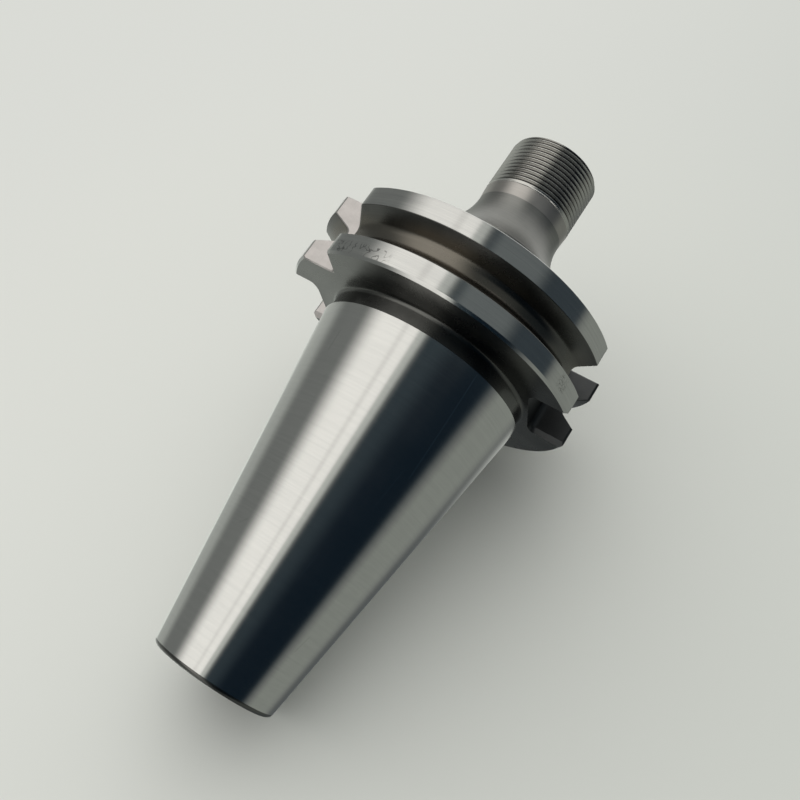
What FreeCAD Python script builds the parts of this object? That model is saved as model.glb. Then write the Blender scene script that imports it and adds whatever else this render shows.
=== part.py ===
# Collet chuck holder with a size 40 steep taper shank, cut from one piece of steel.
# Millimetres. Z runs along the spindle axis from the small end of the taper to the nose.
# X runs through the two drive slots.
import FreeCAD, Part
import math
import os
import Sketcher

doc = FreeCAD.newDocument("collet_chuck_holder")

# ---------------------------------------------------------------- named sizes
SIZES = [
    # steep taper shank, 7 in 24 on diameter
    ("gauge_diameter", 44.45, "taper diameter at the gauge line"),
    ("taper_length", 68.4, "small end to the gauge line"),
    ("taper_rise", 7, "change of diameter over the run"),
    ("taper_run", 24, "run for that change"),
    ("taper_end_gap", 0.3, "ground taper stops this short of the gauge line"),
    ("small_end_radius", 1.0, "rounded edge of the small end"),
    # relief between the ground taper and the flange
    ("gauge_to_flange", 3.2, "gauge line to the rear face of the flange"),
    ("relief_step", 0.625, "relief below the gauge radius"),
    ("relief_fillet", 0.8, "fillet from the relief to the rear face"),
    # gripper flange
    ("flange_diameter", 63.55, "outside diameter of both rings"),
    ("flange_thickness", 15.6, "rear face to front face"),
    ("rear_rim_chamfer", 0.48, "rim of the rear face"),
    ("front_rim_chamfer", 0.15, "rim of the front face"),
    ("groove_centre", 11.1, "gauge line to the middle of the V groove"),
    ("groove_depth", 3.65, "V groove below the outside diameter"),
    ("groove_bottom_width", 2.858, "flat at the bottom of the V groove"),
    ("groove_flank_angle", 30.0, "each flank from the plane across the axis"),
    ("groove_foot_radius", 1.6, "rounded feet of the two flanks"),
    # drive slots and the corner notch
    ("slot_width", 16.1, "both drive slots"),
    ("slot_shallow_land", 2.775, "bottom of the slot at -X beyond the gauge radius"),
    ("slot_deep_land", 0.575, "bottom of the slot at +X beyond the gauge radius"),
    ("slot_corner_radius", 1.6, "rounded inner corners of the drive slots"),
    ("slot_outer_chamfer", 0.55, "slot walls at the outside diameter"),
    ("slot_rear_chamfer", 1.0, "slot walls at the rear face"),
    ("slot_front_chamfer", 0.25, "slot walls at the front face"),
    ("notch_reach_x", 18.5, "axis to the notch wall that faces -X"),
    ("notch_reach_y", 18.5, "axis to the notch wall that faces -Y"),
    ("notch_corner_radius", 0.8, "inner corner of the notch"),
    # nose
    ("hub_diameter", 32.0, "short hub in front of the flange"),
    ("neck_flare_radius", 13.5, "concave flare from the neck to the hub"),
    ("neck_flare_height", 20.2, "front face to the neck end of the flare"),
    ("neck_straight_length", 0.3, "plain neck between the flare and the runout"),
    ("neck_step", 0.25, "neck below the thread's crest radius"),
    ("runout_length", 2.8, "slightly conical end of the neck"),
    ("runout_step", 0.05, "end of the runout below the thread's crest radius"),
    ("thread_diameter", 20.0, "crest diameter of the nose thread"),
    ("thread_length", 12.8, "rear edge of the thread to the end face"),
    ("thread_rear_chamfer", 0.2, "rear edge of the thread"),
    ("nose_chamfer", 0.5, "chamfer on the nose"),
    # inside of the small end
    ("pilot_wall", 3.75, "small end's radius to the centring bore"),
    ("pilot_bore_depth", 8.2, "depth of the centring bore"),
    ("drawbar_step", 1.5, "centring bore to the core of the M16 thread"),
    ("drawbar_depth", 34.0, "small end to the end of the M16 thread"),
    ("mouth_chamfer", 0.5, "edge of the centring bore"),
    # inside of the nose
    ("passage_diameter", 8.0, "passage between the two ends"),
    ("shank_bore_diameter", 10.2, "clearance bore behind the collet"),
    ("shank_bore_depth", 44.0, "end face to the end of the clearance bore"),
    ("collet_mouth_wall", 2.0, "thread's crest radius to the collet cone at the end face"),
    ("collet_half_angle", 8.0, "half of the collet cone's angle"),
    ("drill_point_angle", 59.0, "half of a drill point's angle"),
    # how far cutters run past the metal
    ("overrun", 2.0, "cut beyond a face or a rim"),
]

sheet = doc.addObject("Spreadsheet::Sheet", "Sizes")
row = 1
for alias, value, note in SIZES:
    sheet.set("A%d" % row, alias)
    sheet.set("B%d" % row, repr(value))
    sheet.set("C%d" % row, note)
    sheet.setAlias("B%d" % row, alias)
    row += 1
doc.recompute()


def with_sheet(text):
    """Expression text with every size name pointed at the sheet."""
    words = sorted((s[0] for s in SIZES), key=len, reverse=True)
    out = ""
    i = 0
    while i < len(text):
        hit = None
        for word in words:
            if text.startswith(word, i):
                hit = word
                break
        if hit:
            out += "Sizes." + hit
            i += len(hit)
        else:
            out += text[i]
            i += 1
    return out


def value_of(text):
    """Number an expression gives, used to place sketch geometry before it is bound."""
    return float(sheet.evalExpression(with_sheet(text)))


# ---------------------------------------------------------------- radii
RADIUS_SLOPE = "(taper_rise / taper_run / 2)"
GAUGE_RADIUS = "(gauge_diameter / 2)"
SMALL_RADIUS = "(gauge_diameter / 2 - taper_length * %s)" % RADIUS_SLOPE
TAPER_TOP_RADIUS = "(gauge_diameter / 2 - taper_end_gap * %s)" % RADIUS_SLOPE
RELIEF_RADIUS = "(gauge_diameter / 2 - relief_step)"
FLANGE_RADIUS = "(flange_diameter / 2)"
GROOVE_RADIUS = "(flange_diameter / 2 - groove_depth)"
THREAD_RADIUS = "(thread_diameter / 2)"
NECK_RADIUS = "(thread_diameter / 2 - neck_step)"
RUNOUT_RADIUS = "(thread_diameter / 2 - runout_step)"
HUB_RADIUS = "(hub_diameter / 2)"
PILOT_RADIUS = "(%s - pilot_wall)" % SMALL_RADIUS
CORE_RADIUS = "(%s - drawbar_step)" % PILOT_RADIUS
MOUTH_RADIUS = "(thread_diameter / 2 - collet_mouth_wall)"
SHANK_BORE_RADIUS = "(shank_bore_diameter / 2)"

# ---------------------------------------------------------------- places along Z
TAPER_TOP = "(taper_length - taper_end_gap)"
REAR_FACE = "(taper_length + gauge_to_flange)"
FRONT_FACE = "(%s + flange_thickness)" % REAR_FACE
GROOVE_MIDDLE = "(taper_length + groove_centre)"
GROOVE_FOOT = "(groove_bottom_width / 2)"
GROOVE_LIP = "(groove_bottom_width / 2 + groove_depth * tan(groove_flank_angle * 1deg))"
GROOVE_OUT = "(%s + overrun * tan(groove_flank_angle * 1deg))" % GROOVE_LIP
FLARE_START = "(%s + neck_flare_height)" % FRONT_FACE
RUNOUT_START = "(%s + neck_straight_length)" % FLARE_START
THREAD_START = "(%s + runout_length)" % RUNOUT_START
NOSE_END = "(%s + thread_length)" % THREAD_START
CONE_LENGTH = "((%s - %s) / tan(collet_half_angle * 1deg))" % (MOUTH_RADIUS, SHANK_BORE_RADIUS)
BORE_END = "(%s - shank_bore_depth)" % NOSE_END

body = doc.addObject("PartDesign::Body", "holder_body")


def origin_feature(role):
    for feature in body.Origin.OriginFeatures:
        if feature.Role == role:
            return feature
    raise RuntimeError("no " + role)


XZ = origin_feature("XZ_Plane")
XY = origin_feature("XY_Plane")
YZ = origin_feature("YZ_Plane")


# ---------------------------------------------------------------- helpers for sketches
def new_sketch(name, plane, offset=None):
    sketch = body.newObject("Sketcher::SketchObject", name)
    sketch.AttachmentSupport = [(plane, "")]
    sketch.MapMode = "FlatFace"
    if offset:
        sketch.setExpression("AttachmentOffset.Base.z", with_sheet(offset))
    return sketch


def bind(sketch, kind, first, second, text, name):
    """One horizontal or vertical distance from the sketch origin, driven by the sheet."""
    number = value_of(text)
    if number == 0:
        on_axis = -2 if kind == "DistanceX" else -1
        sketch.addConstraint(Sketcher.Constraint("PointOnObject", first, second, on_axis))
        return
    index = sketch.addConstraint(Sketcher.Constraint(kind, -1, 1, first, second, number))
    sketch.renameConstraint(index, name)
    sketch.setExpression("Constraints." + name, with_sheet(text))


def join(sketch, one, one_end, other, other_end):
    sketch.addConstraint(Sketcher.Constraint("Coincident", one, one_end, other, other_end))


def loop(sketch, corners):
    """Closed outline of straight sides. Each corner is two expressions."""
    points = [FreeCAD.Vector(value_of(a), value_of(b), 0) for a, b in corners]
    count = len(points)
    first = len(sketch.Geometry)
    for i in range(count):
        sketch.addGeometry(Part.LineSegment(points[i], points[(i + 1) % count]), False)
    for i in range(count):
        join(sketch, first + i, 2, first + (i + 1) % count, 1)
    for i in range(count):
        bind(sketch, "DistanceX", first + i, 1, corners[i][0], "x%d_%d" % (first, i))
        bind(sketch, "DistanceY", first + i, 1, corners[i][1], "y%d_%d" % (first, i))


def side(sketch, start, end, name, free_end):
    """Straight side; its start is bound, and its end too unless another side binds it."""
    a = FreeCAD.Vector(value_of(start[0]), value_of(start[1]), 0)
    b = FreeCAD.Vector(value_of(end[0]), value_of(end[1]), 0)
    index = sketch.addGeometry(Part.LineSegment(a, b), False)
    bind(sketch, "DistanceX", index, 1, start[0], name + "_x1")
    bind(sketch, "DistanceY", index, 1, start[1], name + "_y1")
    if not free_end:
        bind(sketch, "DistanceX", index, 2, end[0], name + "_x2")
        bind(sketch, "DistanceY", index, 2, end[1], name + "_y2")
    return index


def corner_arc(sketch, centre_texts, radius_text, begin, end, name):
    """Arc that rounds a corner, from one angle to another; its ends are joined to two sides."""
    centre = FreeCAD.Vector(value_of(centre_texts[0]), value_of(centre_texts[1]), 0)
    circle = Part.Circle(centre, FreeCAD.Vector(0, 0, 1), value_of(radius_text))
    index = sketch.addGeometry(Part.ArcOfCircle(circle, begin, end), False)
    bind(sketch, "DistanceX", index, 3, centre_texts[0], name + "_centre")
    return index


def quarter_arc(sketch, centre_texts, radius_text, quarter, name):
    """Quarter circle; quarter 0 goes from +X to +Y."""
    begin = quarter * math.pi / 2
    return corner_arc(sketch, centre_texts, radius_text, begin, begin + math.pi / 2, name)


def turn(kind, name, corners):
    """Turned shape about Z: kind adds material (Revolution) or cuts it (Groove)."""
    sketch = new_sketch(name + "_sketch", XZ)
    loop(sketch, corners)
    feature = body.newObject("PartDesign::" + kind, name)
    feature.Profile = sketch
    feature.ReferenceAxis = (sketch, ["V_Axis"])
    feature.Angle = 360.0
    sketch.Visibility = False
    doc.recompute()
    return feature


def cut(name, sketch, length, forward):
    """Pocket from its sketch plane, along the plane's normal when forward."""
    feature = body.newObject("PartDesign::Pocket", name)
    feature.Profile = sketch
    feature.Type = 0
    feature.Reversed = forward
    feature.Length = value_of(length)
    feature.setExpression("Length", with_sheet(length))
    sketch.Visibility = False
    doc.recompute()
    return feature


def circle_edge(radius_text, height_text):
    """Name of the round edge about Z nearest to this radius and height."""
    radius = value_of(radius_text)
    height = value_of(height_text)
    best = None
    best_miss = None
    for number, edge in enumerate(body.Tip.Shape.Edges, 1):
        curve = edge.Curve
        if not isinstance(curve, Part.Circle):
            continue
        miss = abs(curve.Radius - radius) + abs(curve.Center.z - height)
        if best is None or miss < best_miss:
            best = "Edge%d" % number
            best_miss = miss
    return best


def fillet(name, size, edges):
    """Fillet on named edges, its radius driven by the sheet."""
    base = body.Tip
    feature = body.newObject("PartDesign::Fillet", name)
    feature.Base = (base, edges)
    feature.Radius = value_of(size)
    feature.setExpression("Radius", with_sheet(size))
    body.Tip = feature
    doc.recompute()
    return feature


# ---------------------------------------------------------------- turned outside
turn("Revolution", "taper_shank", [
    ("0", "0"),
    (SMALL_RADIUS, "0"),
    (TAPER_TOP_RADIUS, TAPER_TOP),
    ("0", TAPER_TOP),
])
fillet("small_end_edge", "small_end_radius", [circle_edge(SMALL_RADIUS, "0 * overrun")])
turn("Revolution", "relief", [
    ("0", TAPER_TOP),
    (RELIEF_RADIUS, TAPER_TOP),
    (RELIEF_RADIUS, REAR_FACE),
    ("0", REAR_FACE),
])
turn("Revolution", "flange", [
    ("0", REAR_FACE),
    ("%s - rear_rim_chamfer" % FLANGE_RADIUS, REAR_FACE),
    (FLANGE_RADIUS, "%s + rear_rim_chamfer" % REAR_FACE),
    (FLANGE_RADIUS, "%s - front_rim_chamfer" % FRONT_FACE),
    ("%s - front_rim_chamfer" % FLANGE_RADIUS, FRONT_FACE),
    ("0", FRONT_FACE),
])
fillet("relief_foot", "relief_fillet", [circle_edge(RELIEF_RADIUS, REAR_FACE)])

# V groove: a floor, two rounded feet and two flanks that run out past the rim
FOOT_TANGENT = "(groove_foot_radius * tan((90 - groove_flank_angle) / 2 * 1deg))"
FLOOR_HALF = "(%s - %s)" % (GROOVE_FOOT, FOOT_TANGENT)
FLANK_RADIUS = "(%s + %s * cos(groove_flank_angle * 1deg))" % (GROOVE_RADIUS, FOOT_TANGENT)
FLANK_HALF = "(%s + %s * sin(groove_flank_angle * 1deg))" % (GROOVE_FOOT, FOOT_TANGENT)
GROOVE_RIM = "(%s + overrun)" % FLANGE_RADIUS
FOOT_CENTRE = "(%s + groove_foot_radius)" % GROOVE_RADIUS


def above(text):
    return "(%s + %s)" % (GROOVE_MIDDLE, text)


def below(text):
    return "(%s - %s)" % (GROOVE_MIDDLE, text)


groove_sketch = new_sketch("gripper_groove_sketch", XZ)
floor = side(groove_sketch, (GROOVE_RADIUS, below(FLOOR_HALF)), (GROOVE_RADIUS, above(FLOOR_HALF)),
             "floor", False)
upper = side(groove_sketch, (FLANK_RADIUS, above(FLANK_HALF)), (GROOVE_RIM, above(GROOVE_OUT)),
             "upper", True)
rim = side(groove_sketch, (GROOVE_RIM, above(GROOVE_OUT)), (GROOVE_RIM, below(GROOVE_OUT)),
           "rim", False)
lower = side(groove_sketch, (FLANK_RADIUS, below(FLANK_HALF)), (GROOVE_RIM, below(GROOVE_OUT)),
             "lower", True)
upper_foot = corner_arc(groove_sketch, (FOOT_CENTRE, above(FLOOR_HALF)), "groove_foot_radius",
                        math.pi / 2 + math.radians(value_of("groove_flank_angle")), math.pi,
                        "upper_foot")
lower_foot = corner_arc(groove_sketch, (FOOT_CENTRE, below(FLOOR_HALF)), "groove_foot_radius",
                        math.pi, 3 * math.pi / 2 - math.radians(value_of("groove_flank_angle")),
                        "lower_foot")
join(groove_sketch, upper_foot, 1, upper, 1)
join(groove_sketch, upper_foot, 2, floor, 2)
join(groove_sketch, lower_foot, 1, floor, 1)
join(groove_sketch, lower_foot, 2, lower, 1)
join(groove_sketch, upper, 2, rim, 1)
join(groove_sketch, lower, 2, rim, 2)
groove = body.newObject("PartDesign::Groove", "gripper_groove")
groove.Profile = groove_sketch
groove.ReferenceAxis = (groove_sketch, ["V_Axis"])
groove.Angle = 360.0
groove_sketch.Visibility = False
doc.recompute()

# hub, concave flare, neck and runout in one outline: straight sides, an arc and the axis
FLARE_CENTRE = "(%s + neck_flare_radius)" % NECK_RADIUS
HUB_TOP = ("(%s - sqrt(neck_flare_radius ^ 2 - (%s - %s) ^ 2))"
           % (FLARE_START, FLARE_CENTRE, HUB_RADIUS))
neck_sketch = new_sketch("neck_sketch", XZ)


def at(radius_text, height_text):
    return FreeCAD.Vector(value_of(radius_text), value_of(height_text), 0)


axis_front = at("0 * overrun", FRONT_FACE)
front_corner = at(HUB_RADIUS, FRONT_FACE)
hub_corner = at(HUB_RADIUS, HUB_TOP)
neck_corner = at(NECK_RADIUS, FLARE_START)
runout_corner = at(NECK_RADIUS, RUNOUT_START)
top_corner = at(RUNOUT_RADIUS, THREAD_START)
axis_top = at("0 * overrun", THREAD_START)
flare_centre = at(FLARE_CENTRE, FLARE_START)
flare_circle = Part.Circle(flare_centre, FreeCAD.Vector(0, 0, 1), value_of("neck_flare_radius"))
hub_arm = hub_corner - flare_centre
flare_end_angle = math.atan2(hub_arm.y, hub_arm.x) + 2 * math.pi
neck_outline = [
    Part.LineSegment(axis_front, front_corner),
    Part.LineSegment(front_corner, hub_corner),
    Part.ArcOfCircle(flare_circle, math.pi, flare_end_angle),
    Part.LineSegment(neck_corner, runout_corner),
    Part.LineSegment(runout_corner, top_corner),
    Part.LineSegment(top_corner, axis_top),
    Part.LineSegment(axis_top, axis_front),
]
for piece in neck_outline:
    neck_sketch.addGeometry(piece, False)
# the arc, side 2, runs from the neck to the hub
join(neck_sketch, 0, 2, 1, 1)
join(neck_sketch, 1, 2, 2, 2)
join(neck_sketch, 2, 1, 3, 1)
join(neck_sketch, 3, 2, 4, 1)
join(neck_sketch, 4, 2, 5, 1)
join(neck_sketch, 5, 2, 6, 1)
join(neck_sketch, 6, 2, 0, 1)
neck_sketch.addConstraint(Sketcher.Constraint("Horizontal", 0))
neck_sketch.addConstraint(Sketcher.Constraint("Vertical", 1))
neck_sketch.addConstraint(Sketcher.Constraint("Vertical", 3))
neck_sketch.addConstraint(Sketcher.Constraint("Horizontal", 5))
bind(neck_sketch, "DistanceX", 0, 1, "0", "axis_x")
bind(neck_sketch, "DistanceY", 0, 1, FRONT_FACE, "front_z")
bind(neck_sketch, "DistanceX", 0, 2, HUB_RADIUS, "hub_x")
bind(neck_sketch, "DistanceX", 2, 1, NECK_RADIUS, "neck_x")
bind(neck_sketch, "DistanceY", 2, 1, FLARE_START, "flare_z")
bind(neck_sketch, "DistanceX", 2, 3, FLARE_CENTRE, "flare_centre_x")
bind(neck_sketch, "DistanceY", 2, 3, FLARE_START, "flare_centre_z")
bind(neck_sketch, "DistanceY", 3, 2, RUNOUT_START, "runout_z")
bind(neck_sketch, "DistanceX", 4, 2, RUNOUT_RADIUS, "runout_x")
bind(neck_sketch, "DistanceY", 4, 2, THREAD_START, "thread_z")
bind(neck_sketch, "DistanceX", 6, 1, "0", "axis_top_x")
neck = body.newObject("PartDesign::Revolution", "neck")
neck.Profile = neck_sketch
neck.ReferenceAxis = (neck_sketch, ["V_Axis"])
neck.Angle = 360.0
neck_sketch.Visibility = False
doc.recompute()

turn("Revolution", "threaded_nose", [
    ("0", THREAD_START),
    ("%s - thread_rear_chamfer" % THREAD_RADIUS, THREAD_START),
    (THREAD_RADIUS, "%s + thread_rear_chamfer" % THREAD_START),
    (THREAD_RADIUS, "%s - nose_chamfer" % NOSE_END),
    ("%s - nose_chamfer" % THREAD_RADIUS, NOSE_END),
    ("0", NOSE_END),
])

# ---------------------------------------------------------------- drive slots and notch
HALF = "(slot_width / 2)"
OUTSIDE = "(%s + overrun)" % FLANGE_RADIUS
DEEP_REACH = "(%s + slot_deep_land)" % GAUGE_RADIUS
SHALLOW_REACH = "(%s + slot_shallow_land)" % GAUGE_RADIUS
CUT_START = "(%s - overrun)" % REAR_FACE
CUT_LENGTH = "(flange_thickness + 2 * overrun)"
WALL_RIM = "sqrt(%s ^ 2 - %s ^ 2)" % (FLANGE_RADIUS, HALF)


def signed(sign, text):
    return text if sign > 0 else "-(%s)" % text


def drive_slot(name, sign, reach):
    """Slot through the flange at +X or -X: two walls, a flat bottom, rounded corners."""
    bottom = signed(sign, reach)
    foot = signed(sign, "(%s + slot_corner_radius)" % reach)
    outer = signed(sign, OUTSIDE)
    inner_half = "(%s - slot_corner_radius)" % HALF
    sketch = new_sketch(name + "_sketch", XY, CUT_START)
    floor = side(sketch, (bottom, "-" + inner_half), (bottom, inner_half), "floor", False)
    wall_b = side(sketch, (foot, HALF), (outer, HALF), "wall_b", True)
    rim = side(sketch, (outer, HALF), (outer, "-" + HALF), "rim", False)
    wall_a = side(sketch, (foot, "-" + HALF), (outer, "-" + HALF), "wall_a", True)
    join(sketch, wall_b, 2, rim, 1)
    join(sketch, wall_a, 2, rim, 2)
    if sign > 0:
        corner_b = quarter_arc(sketch, (foot, inner_half), "slot_corner_radius", 1, "b")
        corner_a = quarter_arc(sketch, (foot, "-" + inner_half), "slot_corner_radius", 2, "a")
        join(sketch, corner_b, 1, wall_b, 1)
        join(sketch, corner_b, 2, floor, 2)
        join(sketch, corner_a, 1, floor, 1)
        join(sketch, corner_a, 2, wall_a, 1)
    else:
        corner_b = quarter_arc(sketch, (foot, inner_half), "slot_corner_radius", 0, "b")
        corner_a = quarter_arc(sketch, (foot, "-" + inner_half), "slot_corner_radius", 3, "a")
        join(sketch, corner_b, 1, floor, 2)
        join(sketch, corner_b, 2, wall_b, 1)
        join(sketch, corner_a, 1, wall_a, 1)
        join(sketch, corner_a, 2, floor, 1)
    cut(name, sketch, CUT_LENGTH, True)


def slot_outer_edges(name, sign):
    """Chamfers where the two slot walls meet the outside diameter, full height."""
    deep = signed(sign, "(%s - slot_outer_chamfer - overrun)" % WALL_RIM)
    far = signed(sign, "(%s + overrun)" % WALL_RIM)
    low = "(%s - overrun)" % HALF
    high = "(%s + slot_outer_chamfer + overrun)" % HALF
    sketch = new_sketch(name + "_sketch", XY, CUT_START)
    loop(sketch, [(deep, low), (far, low), (far, high)])
    loop(sketch, [(deep, "-" + low), (far, "-" + low), (far, "-" + high)])
    cut(name, sketch, CUT_LENGTH, True)


def slot_face_edges(name, sign, reach):
    """Chamfers where the two slot walls meet the rear face and the front face."""
    start = signed(sign, "(%s + slot_corner_radius)" % reach)
    rear_low = "(%s - overrun)" % REAR_FACE
    rear_top = "(%s + slot_rear_chamfer)" % REAR_FACE
    front_low = "(%s - slot_front_chamfer)" % FRONT_FACE
    front_top = "(%s + overrun)" % FRONT_FACE
    rear_wide = "(%s + slot_rear_chamfer + overrun)" % HALF
    front_wide = "(%s + slot_front_chamfer + overrun)" % HALF
    sketch = new_sketch(name + "_sketch", YZ, start)
    loop(sketch, [("-" + rear_wide, rear_low), (rear_wide, rear_low),
                  (HALF, rear_top), ("-" + HALF, rear_top)])
    loop(sketch, [("-" + front_wide, front_top), (front_wide, front_top),
                  (HALF, front_low), ("-" + HALF, front_low)])
    cut(name, sketch, "(%s - %s - slot_corner_radius)" % (OUTSIDE, reach), sign > 0)


drive_slot("slot_deep", 1, DEEP_REACH)
drive_slot("slot_shallow", -1, SHALLOW_REACH)

notch_sketch = new_sketch("corner_notch_sketch", XY, CUT_START)
NOTCH_FOOT_X = "-(notch_reach_x + notch_corner_radius)"
NOTCH_FOOT_Y = "-(notch_reach_y + notch_corner_radius)"
NOTCH_OUT = "-" + OUTSIDE
wall_x = side(notch_sketch, ("-notch_reach_x", NOTCH_FOOT_Y), ("-notch_reach_x", NOTCH_OUT),
              "wall_x", True)
rim_y = side(notch_sketch, ("-notch_reach_x", NOTCH_OUT), (NOTCH_OUT, NOTCH_OUT), "rim_y", True)
rim_x = side(notch_sketch, (NOTCH_OUT, NOTCH_OUT), (NOTCH_OUT, "-notch_reach_y"), "rim_x", False)
wall_y = side(notch_sketch, (NOTCH_FOOT_X, "-notch_reach_y"), (NOTCH_OUT, "-notch_reach_y"),
              "wall_y", True)
notch_corner = quarter_arc(notch_sketch, (NOTCH_FOOT_X, NOTCH_FOOT_Y),
                           "notch_corner_radius", 0, "corner")
join(notch_sketch, notch_corner, 1, wall_x, 1)
join(notch_sketch, notch_corner, 2, wall_y, 1)
join(notch_sketch, wall_x, 2, rim_y, 1)
join(notch_sketch, rim_y, 2, rim_x, 1)
join(notch_sketch, wall_y, 2, rim_x, 2)
cut("corner_notch", notch_sketch, CUT_LENGTH, True)

slot_outer_edges("slot_deep_outer_edges", 1)
slot_outer_edges("slot_shallow_outer_edges", -1)
slot_face_edges("slot_deep_face_edges", 1, DEEP_REACH)
slot_face_edges("slot_shallow_face_edges", -1, SHALLOW_REACH)

# ---------------------------------------------------------------- bores
POINT = "tan(drill_point_angle * 1deg)"
turn("Groove", "retention_bore", [
    ("0", "0"),
    ("%s + mouth_chamfer" % PILOT_RADIUS, "0"),
    (PILOT_RADIUS, "mouth_chamfer"),
    (PILOT_RADIUS, "pilot_bore_depth"),
    (CORE_RADIUS, "pilot_bore_depth"),
    (CORE_RADIUS, "drawbar_depth"),
    ("0", "drawbar_depth + %s / %s" % (CORE_RADIUS, POINT)),
])
turn("Groove", "nose_bore", [
    ("0", NOSE_END),
    (MOUTH_RADIUS, NOSE_END),
    (SHANK_BORE_RADIUS, "%s - %s" % (NOSE_END, CONE_LENGTH)),
    (SHANK_BORE_RADIUS, BORE_END),
    ("0", "%s - %s / %s" % (BORE_END, SHANK_BORE_RADIUS, POINT)),
])
turn("Groove", "passage", [
    ("0", "drawbar_depth"),
    ("passage_diameter / 2", "drawbar_depth"),
    ("passage_diameter / 2", BORE_END),
    ("0", BORE_END),
])

doc.recompute()

# ---------------------------------------------------------------- checks and export
for item in doc.Objects:
    states = item.State
    if "Invalid" in states or "Error" in states:
        raise RuntimeError("%s is not solved: %s" % (item.Name, states))
    if item.isDerivedFrom("PartDesign::Feature") or item.TypeId == "PartDesign::Body":
        shape = item.Shape
        if shape.isNull() or not shape.isValid():
            raise RuntimeError("%s has no valid shape" % item.Name)

if len(body.Shape.Solids) != 1:
    raise RuntimeError("the holder is one solid, found %d" % len(body.Shape.Solids))
solid = body.Shape.Solids[0]
os.makedirs("parts", exist_ok=True)
solid.exportStep("parts/holder_body.step")
box = solid.optimalBoundingBox(True, False)
print("holder_body", round(box.XLength, 3), round(box.YLength, 3), round(box.ZMin, 3), round(box.ZMax, 3))
print("centre of mass height", round(solid.CenterOfMass.z, 2), "volume", round(solid.Volume, 1))
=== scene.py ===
import bmesh
import bpy
import math
from mathutils import Matrix, Vector
from mathutils.geometry import delaunay_2d_cdt


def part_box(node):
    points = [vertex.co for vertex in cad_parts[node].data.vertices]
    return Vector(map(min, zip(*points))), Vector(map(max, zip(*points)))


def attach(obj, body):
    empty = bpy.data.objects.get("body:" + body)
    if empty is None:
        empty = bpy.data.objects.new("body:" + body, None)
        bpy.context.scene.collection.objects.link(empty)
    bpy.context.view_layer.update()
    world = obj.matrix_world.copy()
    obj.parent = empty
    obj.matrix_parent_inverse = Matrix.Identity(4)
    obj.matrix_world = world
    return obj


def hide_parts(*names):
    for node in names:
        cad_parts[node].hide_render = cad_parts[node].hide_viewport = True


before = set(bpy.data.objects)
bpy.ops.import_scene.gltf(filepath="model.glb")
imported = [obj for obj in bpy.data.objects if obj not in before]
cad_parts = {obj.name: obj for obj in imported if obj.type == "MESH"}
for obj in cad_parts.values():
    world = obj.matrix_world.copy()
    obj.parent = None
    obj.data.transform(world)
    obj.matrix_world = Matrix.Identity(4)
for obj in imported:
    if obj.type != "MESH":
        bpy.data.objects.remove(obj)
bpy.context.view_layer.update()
_, holder_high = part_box("holder_body")
MM = 0.001

# ---------------------------------------------------------------- sizes
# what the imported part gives
NOSE_END = holder_high.z / MM
FLANGE_RADIUS = holder_high.y / MM

# taper shank
GAUGE_RADIUS = 22.225
GAUGE_LINE = 68.4
TAPER_SLOPE = 7 / 48
TAPER_TOP = GAUGE_LINE - 0.3
SMALL_RADIUS = GAUGE_RADIUS - GAUGE_LINE * TAPER_SLOPE
SMALL_END_ROUND = 1.0
RELIEF_RADIUS = 21.6
RELIEF_FILLET = 0.8

# flange
REAR_FACE = 71.6
FRONT_FACE = 87.2
REAR_RIM = 0.48
FRONT_RIM = 0.15
GROOVE_MIDDLE = GAUGE_LINE + 11.1
GROOVE_RADIUS = FLANGE_RADIUS - 3.65
GROOVE_FOOT = 1.429
GROOVE_FOOT_RADIUS = 1.6
FLANK_ANGLE = math.radians(30)
RIDGE_BREAK = 0.07

# slots and notch
SLOT_HALF = 8.05
DEEP_REACH = 22.8
SHALLOW_REACH = 25.0
SLOT_CORNER = 1.6
SLOT_OUTER_CHAMFER = 0.55
SLOT_REAR_CHAMFER = 1.0
SLOT_FRONT_CHAMFER = 0.25
NOTCH_REACH = 18.5
NOTCH_CORNER = 0.8
NOTCH_EDGE = 0.22
EDGE_BREAK = 0.08

# nose
HUB_RADIUS = 16.0
FLARE_RADIUS = 13.5
FLARE_START = FRONT_FACE + 20.2
THREAD_RADIUS = 10.0
THREAD_PITCH = 1.0
THREAD_DEPTH = 0.58
THREAD_START = NOSE_END - 12.8
THREAD_REAR_CHAMFER = 0.2
NOSE_CHAMFER = 0.5
NECK_RADIUS = THREAD_RADIUS - 0.25
RUNOUT_RADIUS = THREAD_RADIUS - 0.05
RUNOUT_START = FLARE_START + 0.3

# bores
PILOT_RADIUS = 8.5
PILOT_DEPTH = 8.2
CORE_RADIUS = 7.0
CORE_DEPTH = 34.0
PASSAGE_RADIUS = 4.0
SHANK_BORE_RADIUS = 5.1
SHANK_BORE_END = NOSE_END - 44.0
COLLET_MOUTH_RADIUS = 8.0
COLLET_CONE = (COLLET_MOUTH_RADIUS - SHANK_BORE_RADIUS) / math.tan(math.radians(8))
MOUTH_CHAMFER = 0.5

AROUND = 288
TEETH = {"top": 128, "side": 22, "bottom": 78}
SMOOTH_ANGLE = math.radians(28)

# finishes of the one piece, each a material slot of its mesh
FINISHES = ["ground_taper", "ground_ring", "turned_flange", "milled_wall", "turned_neck",
            "runout_band", "cut_thread", "bored_inside"]


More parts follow.
